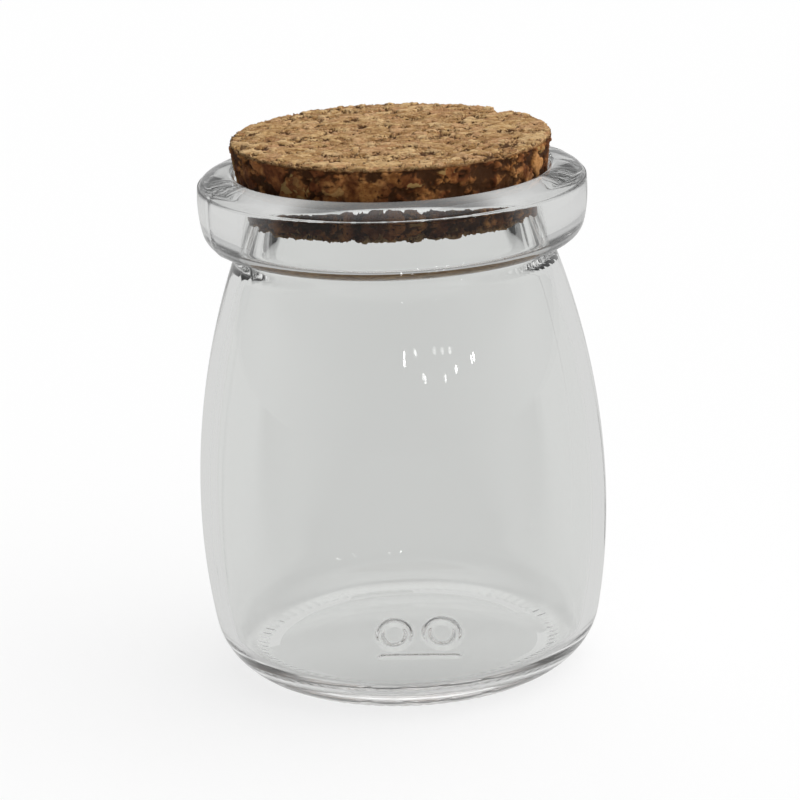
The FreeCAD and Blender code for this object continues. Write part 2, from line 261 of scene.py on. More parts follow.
def new_geometry_tree(name, sizes):
    """A geometry tree with named inputs for its sizes; returns it, its maker and its ends."""
    tree = bpy.data.node_groups.new(name, "GeometryNodeTree")
    tree.is_modifier = True
    face = tree.interface
    face.new_socket("Geometry", in_out="INPUT", socket_type="NodeSocketGeometry")
    for label, kind in sizes.items():
        face.new_socket(label, in_out="INPUT", socket_type=f"NodeSocket{kind}")
    face.new_socket("Geometry", in_out="OUTPUT", socket_type="NodeSocketGeometry")
    make = NodeMaker(tree)
    return tree, make, make.add("NodeGroupInput"), make.add("NodeGroupOutput")


def close_tree(make, geometry, material, end):
    """Every geometry tree ends by realizing its instances and setting its material."""
    real = make.add("GeometryNodeRealizeInstances", {"Geometry": geometry})
    dressed = make.add(
        "GeometryNodeSetMaterial", {"Geometry": real.outputs[0], "Material": material})
    make.tree.links.new(dressed.outputs[0], end.inputs[0])


def apply_tree(obj, tree, values):
    """Run a geometry tree on an object and keep the result as its plain mesh."""
    modifier = obj.modifiers.new(tree.name, "NODES")
    modifier.node_group = tree
    for item in tree.interface.items_tree:
        if item.in_out == "INPUT" and item.name in values:
            modifier[item.identifier] = values[item.name]
    bake_mesh(obj)


def link(obj):
    """Put an object in the scene."""
    bpy.context.collection.objects.link(obj)
    return obj


def bake_mesh(obj):
    """Replace an object's mesh by its evaluated one and drop its modifiers."""
    graph = bpy.context.evaluated_depsgraph_get()
    mesh = bpy.data.meshes.new_from_object(obj.evaluated_get(graph))
    mesh.name = obj.name
    obj.modifiers.clear()
    obj.data = mesh


def place_piece(obj, node):
    """Tie a finished piece to the model: it rides on the body and stands for its node."""
    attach(obj, "root")
    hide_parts(node)


# ---------------------------------------------------------------- turned sections


ON_AXIS = 1e-9


def crossing(first, first_radius, second, second_radius):
    """Where two circles cross, on the left of the way from the first centre to the second."""
    way = second - first
    along = (way.length**2 + first_radius**2 - second_radius**2) / (2 * way.length)
    away = math.sqrt(first_radius**2 - along**2)
    forward = way.normalized()
    return first + forward * along + Vector((-forward.y, forward.x)) * away


def meet_line(centre, radius, start, direction):
    """The first point of a circle that a straight line from outside meets."""
    back = start - centre
    half = back.dot(direction)
    return start + direction * (-half - math.sqrt(half**2 - back.dot(back) + radius**2))


def touch(centre, radius, other):
    """The point where an arc runs smoothly into another one."""
    return centre + (other - centre).normalized() * radius


def sweep(centre, start, end, spacing):
    """Points along the shorter arc from start up to, not including, end."""
    first = start - centre
    angle = math.atan2(first.x * (end - centre).y - first.y * (end - centre).x,
                       first.dot(end - centre))
    count = max(2, math.ceil(abs(angle) * first.length / spacing))
    turned = []
    for i in range(count):
        part = angle * i / count
        turned.append(centre + Vector((first.x * math.cos(part) - first.y * math.sin(part),
                                       first.x * math.sin(part) + first.y * math.cos(part))))
    return turned


def run(start, end, spacing):
    """Points along a straight line from start up to, not including, end."""
    count = max(1, math.ceil((end - start).length / spacing))
    return [start.lerp(end, i / count) for i in range(count)]


def lathe(name, section, segments):
    """A closed solid turned from a section whose first and last points lie on the axis."""
    rings = []
    mesh = bmesh.new()
    for radius, height in section:
        if radius < ON_AXIS:
            rings.append([mesh.verts.new((0, 0, height))] * segments)
            continue
        ring = []
        for i in range(segments):
            angle = 2 * math.pi * i / segments
            x, y = radius * math.cos(angle), radius * math.sin(angle)
            ring.append(mesh.verts.new((x, y, height)))
        rings.append(ring)
    for lower, upper in zip(rings, rings[1:]):
        for i in range(segments):
            j = (i + 1) % segments
            corners = [lower[i], lower[j], upper[j], upper[i]]
            unique = [v for k, v in enumerate(corners) if v not in corners[:k]]
            mesh.faces.new(unique).smooth = True
    bmesh.ops.recalc_face_normals(mesh, faces=mesh.faces)
    data = bpy.data.meshes.new(name)
    mesh.to_mesh(data)
    mesh.free()
    return link(bpy.data.objects.new(name, data))


# ---------------------------------------------------------------- the glass jar

MOUTH_RADIUS = 27.8 * MM
MOUTH_TAPER = math.radians(4.0)
LIP_ROUND = 1.3 * MM
THROAT_ROUND = 5.0 * MM
NECK_WALL = 1.5 * MM
NECK_ROUND = 1.2 * MM
RIM_WIDTH = 6.8 * MM
RIM_SHOULDER_ROUND = 2.3 * MM
RIM_TOP_BULGE = 9.0 * MM
RIM_DEPTH = 14.4 * MM
RIM_UNDER_ROUND = 4.0 * MM
RIM_SIDE_BULGE = 24.0 * MM
RIM_BELLY_DROP = 4.7 * MM
PARTING_DROP = 2.2 * MM
PARTING_STEP = 0.2 * MM
LOWER_BULGE = 118.3 * MM
HEEL_ROUND = 12.4 * MM
INNER_HEEL_ROUND = 6.0 * MM
FOOT_INSET = 10.65 * MM
FOOT_WIDTH = 2.4 * MM
FOOT_ROUND = 1.6 * MM
PUSH_UP = 0.4 * MM

# how far apart the section's points stand on each kind of curve
LIP_STEP = 0.15 * MM
TIGHT_STEP = 0.2 * MM
FINE_STEP = 0.3 * MM
DOME_STEP = 0.36 * MM
ROUND_STEP = 0.6 * MM
FLOOR_STEP = 1.2 * MM
WALL_STEP = 1.6 * MM
JAR_SEGMENTS = 300

# the mould mark: two upright rings side by side and a slightly slanting bar below them;
# its stroke dies away over MARK_FALL, and only the underside's skin inside MARK_REACH takes it
MARK_STROKE = 0.85 * MM
MARK_FALL = 2.2
MARK_REACH = 20 * MM
MARK_SKIN = 0.1 * MM
RING_RADIUS = 3.4 * MM
RING_CENTRES = ((-2.6 * MM, 1.5 * MM), (6.2 * MM, 1.5 * MM))
RING_STRETCH = (0.8, 1.9)
BAR_CENTRE = (1.8 * MM, -9.6 * MM)
BAR_HALF = 6.4 * MM
BAR_SLANT = 0.05

# the relief of pressed glass, each as where it begins and where it is full; the seams stand
# on faces that look outward by more than OUTER_FACE
WALL_BAND = (24 * MM, 30 * MM)
RIB_INNER_BAND = (25.8 * MM, 26.6 * MM)
RIB_OUTER_BAND = (29.2 * MM, 28.2 * MM)
RIB_TOP_BAND = (1.2 * MM, 0.5 * MM)
SEAM_BAND = (12 * MM, 22 * MM)
SEAM_ANGLE = math.radians(22.0)
SEAM_WIDTH = 0.9 * MM
OUTER_FACE = 0.3

GLASS_IOR = 1.5
HAZE_ROUGHNESS = 0.012


def jar_section(sizes):
    """The jar's section from the middle of its underside, up the outside and down the inside."""
    top = sizes.height
    slope = Vector((math.sin(MOUTH_TAPER), math.cos(MOUTH_TAPER)))
    into_glass = Vector((slope.y, -slope.x))

    under = Vector((0, PUSH_UP))
    foot_outer = Vector((sizes.body_radius - FOOT_INSET, 0))
    foot_inner = foot_outer - Vector((FOOT_WIDTH, 0))
    dome = Vector((0, PUSH_UP - (foot_inner.x**2 + PUSH_UP**2) / (2 * PUSH_UP)))

    widest = Vector((sizes.body_radius, sizes.widest_height))
    low = widest - Vector((LOWER_BULGE, 0))
    foot = foot_outer + Vector((0, FOOT_ROUND))
    heel = crossing(low, LOWER_BULGE - HEEL_ROUND, foot, HEEL_ROUND - FOOT_ROUND)
    heel_foot = touch(heel, HEEL_ROUND, foot)
    heel_top = touch(low, LOWER_BULGE, heel)

    throat_radius = MOUTH_RADIUS - RIM_DEPTH * math.tan(MOUTH_TAPER)
    groove = Vector((throat_radius + NECK_WALL + NECK_ROUND, top - RIM_DEPTH))
    lean = widest.x - groove.x
    rise = groove.y - widest.y
    upper_bulge = (lean**2 + rise**2 - NECK_ROUND**2) / (2 * (lean + NECK_ROUND))
    high = widest - Vector((upper_bulge, 0))
    groove_foot = touch(high, upper_bulge, groove)

    side = Vector((MOUTH_RADIUS + RIM_WIDTH - RIM_SIDE_BULGE, top - RIM_BELLY_DROP))
    rim_under = crossing(side, RIM_SIDE_BULGE - RIM_UNDER_ROUND,
                         groove, RIM_UNDER_ROUND + NECK_ROUND)
    groove_top = touch(rim_under, RIM_UNDER_ROUND, groove)
    rim_under_top = touch(side, RIM_SIDE_BULGE, rim_under)
    parting_rise = RIM_BELLY_DROP - PARTING_DROP
    parting = side + Vector((math.sqrt(RIM_SIDE_BULGE**2 - parting_rise**2), parting_rise))
    ledge = parting - Vector((PARTING_STEP, 0))

    lip_across = LIP_ROUND * (1 / math.cos(MOUTH_TAPER) - math.tan(MOUTH_TAPER))
    crest = Vector((MOUTH_RADIUS + lip_across, top))
    crown = crest - Vector((0, RIM_TOP_BULGE))
    shoulder = crossing(crown, RIM_TOP_BULGE - RIM_SHOULDER_ROUND, ledge, RIM_SHOULDER_ROUND)
    shoulder_top = touch(crown, RIM_TOP_BULGE, shoulder)

    lip = crest - Vector((0, LIP_ROUND))
    lip_end = lip - into_glass * LIP_ROUND
    inner_high = upper_bulge - sizes.wall
    throat = meet_line(high, inner_high + THROAT_ROUND,
                       lip_end + into_glass * THROAT_ROUND, -slope)
    throat_top = throat - into_glass * THROAT_ROUND
    throat_foot = touch(high, inner_high, throat)

    inner_low = LOWER_BULGE - sizes.wall
    inside_widest = widest - Vector((sizes.wall, 0))
    heel_height = sizes.floor_thickness + INNER_HEEL_ROUND
    heel_reach = inner_low - INNER_HEEL_ROUND
    heel_across = math.sqrt(heel_reach**2 - (heel_height - low.y) ** 2)
    inner_heel = Vector((low.x + heel_across, heel_height))
    inner_heel_top = touch(low, inner_low, inner_heel)
    floor_edge = inner_heel - Vector((0, INNER_HEEL_ROUND))
    floor_centre = Vector((0, sizes.floor_thickness))

    points = sweep(dome, under, foot_inner, DOME_STEP)
    points += run(foot_inner, foot_outer, FINE_STEP)
    points += sweep(foot, foot_outer, heel_foot, TIGHT_STEP)
    points += sweep(heel, heel_foot, heel_top, ROUND_STEP)
    points += sweep(low, heel_top, widest, WALL_STEP)
    points += sweep(high, widest, groove_foot, WALL_STEP)
    points += sweep(groove, groove_foot, groove_top, TIGHT_STEP)
    points += sweep(rim_under, groove_top, rim_under_top, ROUND_STEP)
    points += sweep(side, rim_under_top, parting, ROUND_STEP)
    points += run(parting, ledge, PARTING_STEP / 2)
    points += sweep(shoulder, ledge, shoulder_top, FINE_STEP)
    points += sweep(crown, shoulder_top, crest, FINE_STEP)
    points += sweep(lip, crest, lip_end, LIP_STEP)
    points += run(lip_end, throat_top, ROUND_STEP)
    points += sweep(throat, throat_top, throat_foot, FINE_STEP)
    points += sweep(high, throat_foot, inside_widest, WALL_STEP)
    points += sweep(low, inside_widest, inner_heel_top, WALL_STEP)
    points += sweep(inner_heel, inner_heel_top, floor_edge, ROUND_STEP)
    points += run(floor_edge, floor_centre, FLOOR_STEP)
    return points + [floor_centre]


def mark_relief(x, y):
    """Depth, 0 to 1, of the plain mould mark: two rings and a bar under them."""
    gaps = []
    for ring_x, ring_y in RING_CENTRES:
        ring = Vector(((x - ring_x) / RING_STRETCH[0], (y - ring_y) / RING_STRETCH[1]))
        gaps.append(abs(ring.length - RING_RADIUS))
    bar_across = max(0.0, abs(x - BAR_CENTRE[0]) - BAR_HALF)
    bar_along = y - BAR_CENTRE[1] + BAR_SLANT * x
    gaps.append(math.hypot(bar_across, bar_along))
    nearest = min(gaps) / MARK_STROKE
    return max(0.0, 1.0 - nearest * nearest / MARK_FALL) ** 2


def press_mark(obj, depth):
    """Press the mould mark into the underside, inside the foot ring."""
    for vertex in obj.data.vertices:
        place = vertex.co
        under = place.z < PUSH_UP + MARK_SKIN
        if under and math.hypot(place.x, place.y) < MARK_REACH:
            place.z += depth * mark_relief(place.x, place.y)


def glass_material(settings):
    """Clear glass with a faint cool tint and the slight unevenness of pressed glass."""
    material, make, end = new_material("clear_glass")
    where = make.add("ShaderNodeTexCoord").outputs["Object"]
    haze = make.noise(where, 60.0, 3.0)
    roughness = make.step(haze, 0.45, 0.8, 0.0, HAZE_ROUGHNESS)
    ripple = make.noise(where, 140.0, 1.0)
    bump = make.add("ShaderNodeBump", {
        "Strength": 0.02, "Distance": 0.2 * MM, "Height": ripple})
    glass = make.add("ShaderNodeBsdfPrincipled", {
        "Base Color": (*settings.tint, 1.0), "Transmission Weight": 1.0, "IOR": GLASS_IOR,
        "Roughness": roughness, "Normal": bump.outputs[0]})
    make.tree.links.new(glass.outputs[0], end.inputs["Surface"])
    return material


def jar_tree(material):
    """Relief of pressed glass: slow ripples, fine ribs under the foot and two mould seams."""
    tree, make, start, end = new_geometry_tree("pressed_glass", {
        "Ripple": "Float", "Rib Count": "Int", "Rib Height": "Float", "Seam Height": "Float"})
    place = make.add("GeometryNodeInputPosition").outputs[0]
    normal = make.add("GeometryNodeInputNormal").outputs[0]
    x, y, height = make.parts(place)
    around = make.math("ARCTAN2", y, x)
    across = make.from_axis(place)

    slow = make.noise(make.vector("MULTIPLY", place, (1, 1, 0.6)), 45.0, 1.0)
    wall = make.step(across, *WALL_BAND)
    ripple = make.times(make.math("SUBTRACT", slow, 0.5), start.outputs["Ripple"], 2.0, wall)

    turn = make.times(around, start.outputs["Rib Count"])
    ribs = make.step(make.math("COSINE", turn), 0.0, 0.9)
    low = make.step(height, *RIB_TOP_BAND)
    inner = make.step(across, *RIB_INNER_BAND)
    outer = make.step(across, *RIB_OUTER_BAND)
    uneven = make.step(make.noise(place, 260.0, 0.0), 0.35, 0.6, 0.3, 1.0)
    ring = make.times(inner, outer)
    rib = make.times(ribs, low, ring, uneven, start.outputs["Rib Height"])

    aside = make.math("SINE", make.math("SUBTRACT", around, SEAM_ANGLE))
    aside = make.times(make.math("ABSOLUTE", aside), across)
    facing = make.vector("DOT_PRODUCT", normal, make.vector("NORMALIZE", make.outward(place)))
    seam = make.times(
        make.step(aside, SEAM_WIDTH, 0.0), make.math("GREATER_THAN", facing, OUTER_FACE),
        make.step(height, *SEAM_BAND), start.outputs["Seam Height"])

    relief = make.math("ADD", make.math("SUBTRACT", ripple, rib), seam)
    moved = make.add("GeometryNodeSetPosition", {
        "Geometry": start.outputs["Geometry"], "Offset": make.scaled(normal, relief)})
    close_tree(make, moved.outputs[0], material, end)
    return tree


class JAR_OT_glass(bpy.types.Operator):
    """Build the clear glass jar"""

    bl_idname = "jar.glass"
    bl_label = "Glass jar"

    def execute(self, context):
        settings = context.scene.jar_glass
        obj = lathe("jar_glass", jar_section(settings), JAR_SEGMENTS)
        press_mark(obj, settings.mark_depth)
        tree = jar_tree(glass_material(settings))
        apply_tree(obj, tree, {
            "Ripple": settings.ripple, "Rib Count": settings.rib_count,
            "Rib Height": settings.rib_height, "Seam Height": settings.seam_height})
        place_piece(obj, "glass_jar")
        return {"FINISHED"}


# ---------------------------------------------------------------- the cork stopper

CORK_TAPER = math.radians(8.4)
CORK_ROUND = 0.5 * MM
CORK_END_ROUND = 1.6 * MM
CORK_SKIN = 0.03 * MM
CORK_SEGMENTS = 256
END_ROUND_STEPS = 12

# granules: how the pattern is squashed, bent, and made larger and more open on the cut side;
# then how much finer the small granules and the flakes are, and the share of small ones
SQUASH = (1.0, 1.0, 1.3)
BEND = 1.7
SIDE_LARGER = 0.4
SIDE_OPENER = 0.06
SMALL_GRANULE = 2.1
FLAKE = 4.2
FLAKE_SQUASH = (1.0, 1.6, 1.0)
SMALL_SHARE = 0.49

# where a gap begins to open, where it is widest, and its width there, in granules
BIG_OPENING = (0.47, 0.64, 0.0, 0.12)
SMALL_OPENING = (0.46, 0.62, 0.0, 0.16)
SEAM_REACH = 0.12
PIT_STRETCH = (0.55, 1.0, 1.0)
PIT_NOISE = (0.66, 0.71)

# how far each part of the relief can stand off the smooth plug, in or out
GRANULE_LIFT = 0.3 * MM
FLAKE_LIFT = 0.2 * MM
GRAIN_LIFT = 0.14 * MM

# the chip in the top edge: its two ends as angles round the axis, and its size
CHIP_DEEP_END = (math.radians(37.6), math.radians(38.6))
CHIP_THIN_END = (math.radians(51), math.radians(39))
CHIP_WIDTH = 3.3 * MM
CHIP_DEPTH = 0.9 * MM
CRUMB_DEPTH = 0.3 * MM
WORN_HEIGHT = 1.6 * MM
LOWER_EDGE = (24.6 * MM, 26.2 * MM)

# how fine each pattern in the colour and the relief is, in waves to the metre
CRUMB_SCALE = 520.0
GRAIN_SCALE = 1500.0
SPECK_SCALE = 2400.0
STREAK_SCALE = 1100.0
STREAK_STRETCH = (0.22, 1.5, 1.0)
CLOUD_SCALE = 420.0
STAIN_SCALE = 210.0

# what the cut side's stain and painted shade do to a colour, in its paler and its deeper patches
SIDE_STAIN_AND_SHADE = (1.0, 0.72, 0.50)
SIDE_DEEP_STAIN_AND_SHADE = (0.36, 0.185, 0.11)


def cork_blank(settings):
    """The smooth tapered plug on an even grid of small faces."""
    top = CORK_HIGH.z
    end = CORK_LOW.z
    top_radius = CORK_HIGH.x + CORK_SKIN
    end_radius = top_radius - (top - end) * math.tan(CORK_TAPER)
    turn = math.pi / 2 - CORK_TAPER
    lower = Vector((end_radius - CORK_END_ROUND * math.tan(turn / 2), end + CORK_END_ROUND))
    section = [Vector((0, end))]
    for i in range(END_ROUND_STEPS + 1):
        part = turn * i / END_ROUND_STEPS
        section.append(lower + Vector((math.sin(part), -math.cos(part))) * CORK_END_ROUND)
    section += [Vector((top_radius - CORK_ROUND * math.tan(CORK_TAPER), top - CORK_ROUND)),
                Vector((top_radius - CORK_ROUND, top)), Vector((0, top))]
    obj = lathe("jar_cork", section, CORK_SEGMENTS)
    remesh = obj.modifiers.new("even_grid", "REMESH")
    remesh.mode = "VOXEL"
    remesh.voxel_size = settings.grid
    remesh.use_smooth_shade = True
    bake_mesh(obj)
    return obj


def cut_side(make, place):
    """1 on the stopper's cut side, 0 on its two ends."""
    height = make.parts(place)[2]
    edge = make.math("SUBTRACT", make.from_axis(place), make.times(height, math.tan(CORK_TAPER)))
    edge_at_side = CORK_HIGH.x - CORK_HIGH.z * math.tan(CORK_TAPER)
    side = make.step(edge, edge_at_side - 0.55 * MM, edge_at_side - 0.15 * MM)
    below_top = make.step(height, CORK_HIGH.z - 0.15 * MM, CORK_HIGH.z - 0.7 * MM)
    return make.times(side, below_top)


def granules(make, place, size, side):
    """The pattern of pressed granules, the same for relief and for colour.

    Returns a random colour for each granule, how deep a point lies in an open gap, how near it
    is to any seam, both 0 to 1, and a random colour for each small flake.
    """
    scale = make.math("SUBTRACT", 1.0, make.times(side, SIDE_LARGER))
    scale = make.math("DIVIDE", scale, size)
    flat = make.vector("MULTIPLY", place, SQUASH)
    bend = make.noise(flat, make.times(scale, 0.9), 4.0, 0.66, "Color")
    bend = make.vector("SUBTRACT", bend, (0.5, 0.5, 0.5))
    bent = make.vector("ADD", flat, make.scaled(bend, make.times(size, BEND)))
    small_scale = make.times(scale, SMALL_GRANULE)
    big_gap = make.cell_gap(bent, scale)
    small_gap = make.cell_gap(bent, small_scale)
    which = make.noise(flat, make.times(scale, 0.8), 1.0)
    fine = make.math("GREATER_THAN", which, SMALL_SHARE)
    colour = make.mix(fine, make.cells(bent, scale), make.cells(bent, small_scale))
    flakes = make.cells(make.vector("MULTIPLY", bent, FLAKE_SQUASH), make.times(scale, FLAKE))

    opening = make.noise(flat, make.times(scale, 1.3), 3.0, 0.62)
    opening = make.math("ADD", opening, make.times(side, SIDE_OPENER))
    width = make.step(opening, *BIG_OPENING)
    near_big = make.step(make.math("SUBTRACT", width, big_gap), -0.02, 0.05)
    fine_width = make.step(opening, *SMALL_OPENING)
    near_small = make.step(make.math("SUBTRACT", fine_width, small_gap), -0.03, 0.07)
    near_small = make.times(near_small, make.times(fine, 0.85))
    gap = make.math("MAXIMUM", near_big, near_small)

    no_small = make.math("SUBTRACT", 1.0, fine)
    seam = make.math("MINIMUM", big_gap, make.math("ADD", small_gap, no_small))
    return colour, gap, make.step(seam, SEAM_REACH, 0.0), flakes


def pits(make, place, size):
    """Small scattered holes, 0 to 1, longer than they are wide."""
    stretched = make.vector("MULTIPLY", place, PIT_STRETCH)
    spots = make.noise(stretched, make.math("DIVIDE", 5.0, size), 2.0, 0.6)
    return make.step(spots, *PIT_NOISE)


def chipped_edge(make, place):
    """How far the rim of the top is broken away: one long chip and small crumbs, in metres."""
    x, y, height = make.parts(place)
    outward = make.from_axis(place)
    around = make.math("ARCTAN2", y, x)
    rough = make.noise(place, 450.0, 3.0, 0.6)
    reach = make.step(around, *CHIP_THIN_END, 0.0, CHIP_WIDTH)
    ends = make.step(around, *CHIP_DEEP_END)
    reach = make.times(reach, make.times(ends, make.step(rough, 0.2, 0.5, 0.6, 1.0)))
    inside = make.math("SUBTRACT", CORK_HIGH.x, reach)
    chip = make.step(make.math("SUBTRACT", outward, inside), 0.0, 0.5 * MM)
    chip = make.times(chip, make.math("GREATER_THAN", reach, 0.2 * MM))
    top = make.step(height, CORK_HIGH.z - WORN_HEIGHT, CORK_HIGH.z - 0.2 * MM)
    chip = make.times(chip, top, CHIP_DEPTH)
    crumb = make.step(make.noise(place, 900.0, 2.0), 0.52, 0.66)
    edge = make.step(outward, CORK_HIGH.x - 0.9 * MM, CORK_HIGH.x - 0.2 * MM)
    crumb = make.times(crumb, edge, make.times(top, CRUMB_DEPTH))
    return make.math("MAXIMUM", chip, crumb)


def worn_edge(make, place, end, wear):
    """How far crumbs have broken from the edge of the lower end, in metres."""
    above_end = make.math("SUBTRACT", make.parts(place)[2], end)
    near_end = make.step(above_end, WORN_HEIGHT, 0.2 * MM)
    near_side = make.step(make.from_axis(place), *LOWER_EDGE)
    crumbs = make.step(make.noise(place, CRUMB_SCALE, 2.5, 0.6), 0.42, 0.68)
    return make.times(near_end, near_side, make.times(crumbs, wear))


def leaning(make, radial, inward, upward):
    """A way that leans in to the axis by one share and up by another."""
    level = make.vector("MULTIPLY", radial, (-inward, -inward, 0))
    return make.vector("ADD", level, (0, 0, upward))


def cork_tree(material):
    """Relief of pressed cork: uneven granules, gaps, pits, a chip and a crumbled lower edge."""
    tree, make, start, end = new_geometry_tree("pressed_cork", {
        "Granule": "Float", "Crevice": "Float", "Pit": "Float", "Wear": "Float",
        "Lower End": "Float"})
    place = make.add("GeometryNodeInputPosition").outputs[0]
    kept = make.add("GeometryNodeStoreNamedAttribute", {
        "Geometry": start.outputs["Geometry"], "Name": "rest_place", "Value": place},
        data_type="FLOAT_VECTOR", domain="POINT")
    normal = make.add("GeometryNodeInputNormal").outputs[0]
    side = cut_side(make, place)
    colour, gap, _, flake = granules(make, place, start.outputs["Granule"], side)
    granule_lift = make.times(make.math("SUBTRACT", make.parts(colour)[0], 0.6), GRANULE_LIFT)
    flake_lift = make.times(make.math("SUBTRACT", make.parts(flake)[1], 0.5), FLAKE_LIFT)
    grain = make.noise(place, GRAIN_SCALE, 3.0)
    grain = make.times(make.math("SUBTRACT", grain, 0.5), GRAIN_LIFT)
    up = make.math("ADD", make.math("ADD", granule_lift, flake_lift), grain)
    hole = pits(make, place, start.outputs["Granule"])
    down = make.math("ADD", make.times(gap, start.outputs["Crevice"]),
                     make.times(hole, start.outputs["Pit"]))
    offset = make.scaled(normal, make.math("SUBTRACT", up, down))

    radial = make.vector("NORMALIZE", make.outward(place))
    worn = worn_edge(make, place, start.outputs["Lower End"], start.outputs["Wear"])
    chip = chipped_edge(make, place)
    for way, far in ((leaning(make, radial, 0.8, 1.0), worn),
                     (leaning(make, radial, 0.25, -1.0), chip)):
        offset = make.vector("ADD", offset, make.scaled(way, far))
    moved = make.add("GeometryNodeSetPosition", {"Geometry": kept.outputs[0], "Offset": offset})
    close_tree(make, moved.outputs[0], material, end)
    return tree


def ramp_of(make, value, stops):
    """A colour ramp through (position, colour) stops, the first and the last one first."""
    ramp = make.add("ShaderNodeValToRGB", {0: value})
    elements = ramp.color_ramp.elements
    for i, (position, colour) in enumerate(stops):
        element = elements[i] if i < 2 else elements.new(position)
        element.position = position
        element.color = (*colour, 1)
    return ramp.outputs[0]


def cork_material(settings):
    """Pressed cork: tan granules and small flakes, gaps dark with bark and painted shade, and a
    cut side darkened by stain and painted shade.
    """
    material, make, end = new_material("pressed_cork")
    place = make.add("ShaderNodeAttribute", attribute_name="rest_place").outputs["Vector"]
    side = cut_side(make, place)
    colour, gap, seam, flake = granules(make, place, settings.granule, side)
    pick, turn, tone = make.parts(colour)
    flake_pick, flake_turn, flake_tone = make.parts(flake)

    streak_place = place
    angle = make.times(turn, 2 * math.pi)
    for axis in ("Z_AXIS", "X_AXIS"):
        streak_place = make.add("ShaderNodeVectorRotate", {
            "Vector": streak_place, "Angle": angle}, rotation_type=axis).outputs[0]
    streak_place = make.vector("MULTIPLY", streak_place, STREAK_STRETCH)
    streak = make.noise(streak_place, STREAK_SCALE, 3.0, 0.6)
    speck = make.noise(place, SPECK_SCALE, 3.0, 0.7)
    cloud = make.noise(place, CLOUD_SCALE, 4.0, 0.7)

    shade = make.math("ADD", make.times(pick, 0.6), make.times(flake_pick, 0.3))
    shade = make.math("ADD", shade, make.times(make.math("SUBTRACT", cloud, 0.5), 1.1))
    base = ramp_of(make, make.math("ADD", shade, 0.12), (
        (0.05, settings.brown), (0.95, settings.pale),
        (0.35, settings.mid_tan), (0.62, settings.light_tan)))
    rosy = make.step(tone, 0.5, 0.85, 0.0, 0.75)
    base = make.mix(rosy, base, make.mix(0.6, base, settings.rosy))
    for share, colour in (
            (make.step(flake_tone, 0.9, 0.97, 0.0, 0.6), settings.pale),
            (make.step(streak, 0.45, 0.72, 0.0, 0.5), settings.brown),
            (make.step(streak, 0.48, 0.3, 0.0, 0.4), settings.pale),
            (make.step(speck, 0.44, 0.3, 0.0, 0.75), settings.crevice_brown),
            (make.times(seam, 0.35), settings.brown)):
        base = make.mix(share, base, colour)

    # the cut side is darker than the top: partly its stain, partly painted shade where less
    # light falls on it
    stain_place = make.vector("MULTIPLY", place, (1, 1, 0.7))
    stain = make.noise(stain_place, STAIN_SCALE, 3.0, 0.65)
    stain = make.step(stain, 0.4, 0.58)
    lighter = make.mix(1.0, base, SIDE_STAIN_AND_SHADE, "MULTIPLY")
    deep = make.mix(1.0, base, SIDE_DEEP_STAIN_AND_SHADE, "MULTIPLY")
    stained_and_shaded = make.mix(stain, lighter, deep)
    bright = make.times(make.step(flake_turn, 0.72, 0.8), make.step(turn, 0.8, 0.86, 0.0, 0.85))
    stained_and_shaded = make.mix(bright, stained_and_shaded, settings.chip_tan)
    base = make.mix(side, base, stained_and_shaded)
    # gaps and pits take the crevice brown: bark, with painted shade in the hollows
    dark = make.math("MAXIMUM", gap, pits(make, place, settings.granule))
    base = make.mix(make.times(dark, 0.94), base, settings.crevice_brown)

    bump_height = make.math("ADD", make.times(speck, 0.6), make.times(streak, 0.5))
    bump = make.add("ShaderNodeBump", {
        "Strength": 0.6, "Distance": 0.25 * MM, "Height": bump_height})
    roughness = make.step(speck, 0.3, 0.7, 0.78, 0.95)
    cork = make.add("ShaderNodeBsdfPrincipled", {
        "Base Color": base, "Roughness": roughness, "Specular IOR Level": 0.25,
        "Normal": bump.outputs[0]})
    make.tree.links.new(cork.outputs[0], end.inputs["Surface"])
    return material


class JAR_OT_cork(bpy.types.Operator):
    """Build the pressed-cork stopper"""

    bl_idname = "jar.cork"
    bl_label = "Cork stopper"

    def execute(self, context):
        settings = context.scene.jar_cork
        obj = cork_blank(settings)
        tree = cork_tree(cork_material(settings))
        apply_tree(obj, tree, {
            "Granule": settings.granule, "Crevice": settings.crevice, "Pit": settings.pit,
            "Wear": settings.wear, "Lower End": CORK_LOW.z})
        place_piece(obj, "cork_stopper")
        return {"FINISHED"}


# ---------------------------------------------------------------- the studio

FLOOR_RADIUS = 4.0
FLOOR_SEGMENTS = 96
FLOOR_PALE = (0.85, 0.85, 0.85, 1)
FLOOR_GREY = (0.67, 0.67, 0.665, 1)
WHITE = (1, 1, 1, 1)

# the floor that the glass shows: a painted pool of light under the jar, dimmer ahead of it
LIGHT_POOL_UNDER_JAR = (27 * MM, 33 * MM, 1.3, 1.0)
AHEAD_OF_JAR = (0.0, -60 * MM, 0.0, 0.8)

# light of the room: near the floor, at eye height, how much of it is left beside the jar,
# and overhead; then what is seen of the front, and the light that dull surfaces get
ROOM_LOW = 0.66
ROOM_MIDDLE = 0.12
ROOM_SIDES = 0.4
ROOM_TOP = 1.2
FRONT_SEEN = 0.7
FRONT_GLOSS = (0.8, 0.2)
SOFT_LIGHT = (0.35, 1.15)
FACING_LIGHT = 1.9

LAMP_ENERGY = 1.1
LAMP_ANGLE = math.radians(90)
LAMP_WAY = Vector((-0.6, 0.3, -1.0))
GLINT_RADIUS = 0.015
BOUNCES = 32
SENSOR_WIDTH = 36.0
NEAREST_SEEN = 0.01

# far small lamps: where each stands, and its energy
GLINTS = (
    (0.467, -1.095, 0.377, 0.03), (0.223, -1.167, 0.386, 0.06), (0.562, -1.051, 0.369, 0.03),
    (0.652, -1.000, 0.360, 0.04), (0.887, -0.817, 0.301, 0.11), (0.076, -1.187, 0.383, 0.08),
    (0.890, -0.816, 0.297, 0.12), (0.075, -1.194, 0.355, 0.12), (0.704, -0.983, 0.291, 0.09),
    (0.323, -1.167, 0.292, 0.09), (0.573, -1.069, 0.274, 0.06))


